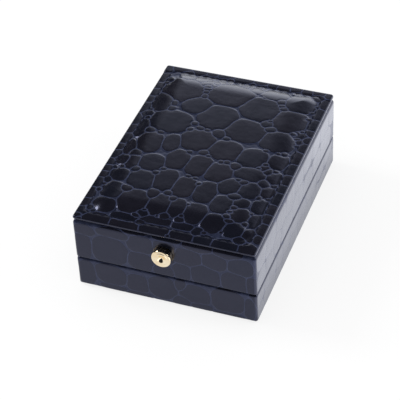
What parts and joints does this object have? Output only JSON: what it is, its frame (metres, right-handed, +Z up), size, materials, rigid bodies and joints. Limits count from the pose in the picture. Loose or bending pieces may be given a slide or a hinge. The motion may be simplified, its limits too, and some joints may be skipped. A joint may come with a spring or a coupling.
{
  "type": "earring box",
  "caption": "Small hinged earring box covered in embossed leatherette, with a padded lid, a push-button latch and a velvet pad inside.",
  "frame": {"origin": "centre of the underside, on the surface that the box stands on", "axes": "+X to the right seen from the button, +Y from the button to the hinge, +Z up"},
  "size_m": [0.065, 0.0929, 0.0334],
  "materials": {
    "leatherette": "glossy embossed scales, navy in the grooves",
    "shell_plastic": "moulded, matte black",
    "velour_paper": "flocked",
    "velvet": "short velvet pile",
    "satin": "satin weave",
    "foam": "open foam",
    "card": "grey board",
    "gold_metal": "polished, pale gold",
    "spring_steel": "cold rolled strip",
    "plunger_plastic": "moulded"
  },
  "bodies": {
    "base": {"base_tray": "shell_plastic", "base_cover": "leatherette", "underside_sheet": "velour_paper", "collar": "velvet", "foam_block": "foam", "pad_card": "card", "earring_pad": "velvet", "strike_plate": "gold_metal", "strike_rivets": "gold_metal", "hinge_base_leaf": "gold_metal", "hinge_pin": "spring_steel", "hinge_base_rivets": "gold_metal"},
    "lid": {"lid_shell": "shell_plastic", "lid_cover": "leatherette", "panel_board": "card", "panel_foam": "foam", "panel_cover": "leatherette", "lid_liner": "satin", "lid_spacer": "card", "lid_pad_card": "card", "lid_pad": "satin", "hinge_lid_leaf": "gold_metal", "hinge_lid_rivets": "gold_metal", "button_bushing": "gold_metal", "latch_spring": "spring_steel", "latch_rivets": "gold_metal"},
    "button": {"button_cap": "gold_metal", "button_plunger": "plunger_plastic"}
  },
  "joints": [
    {"name": "lid_hinge", "type": "hinge", "parent": "base", "child": "lid", "pos_m": [0, 0.0445, 0.01268], "axis": [-1, 0, 0], "range_deg": [0, 98]},
    {"name": "button_press", "type": "slide", "parent": "lid", "child": "button", "axis": [0, 1, 0], "range_m": [0, 0.001], "stiffness_N_per_m": 600, "deforming": ["latch_spring"]}
  ]
}
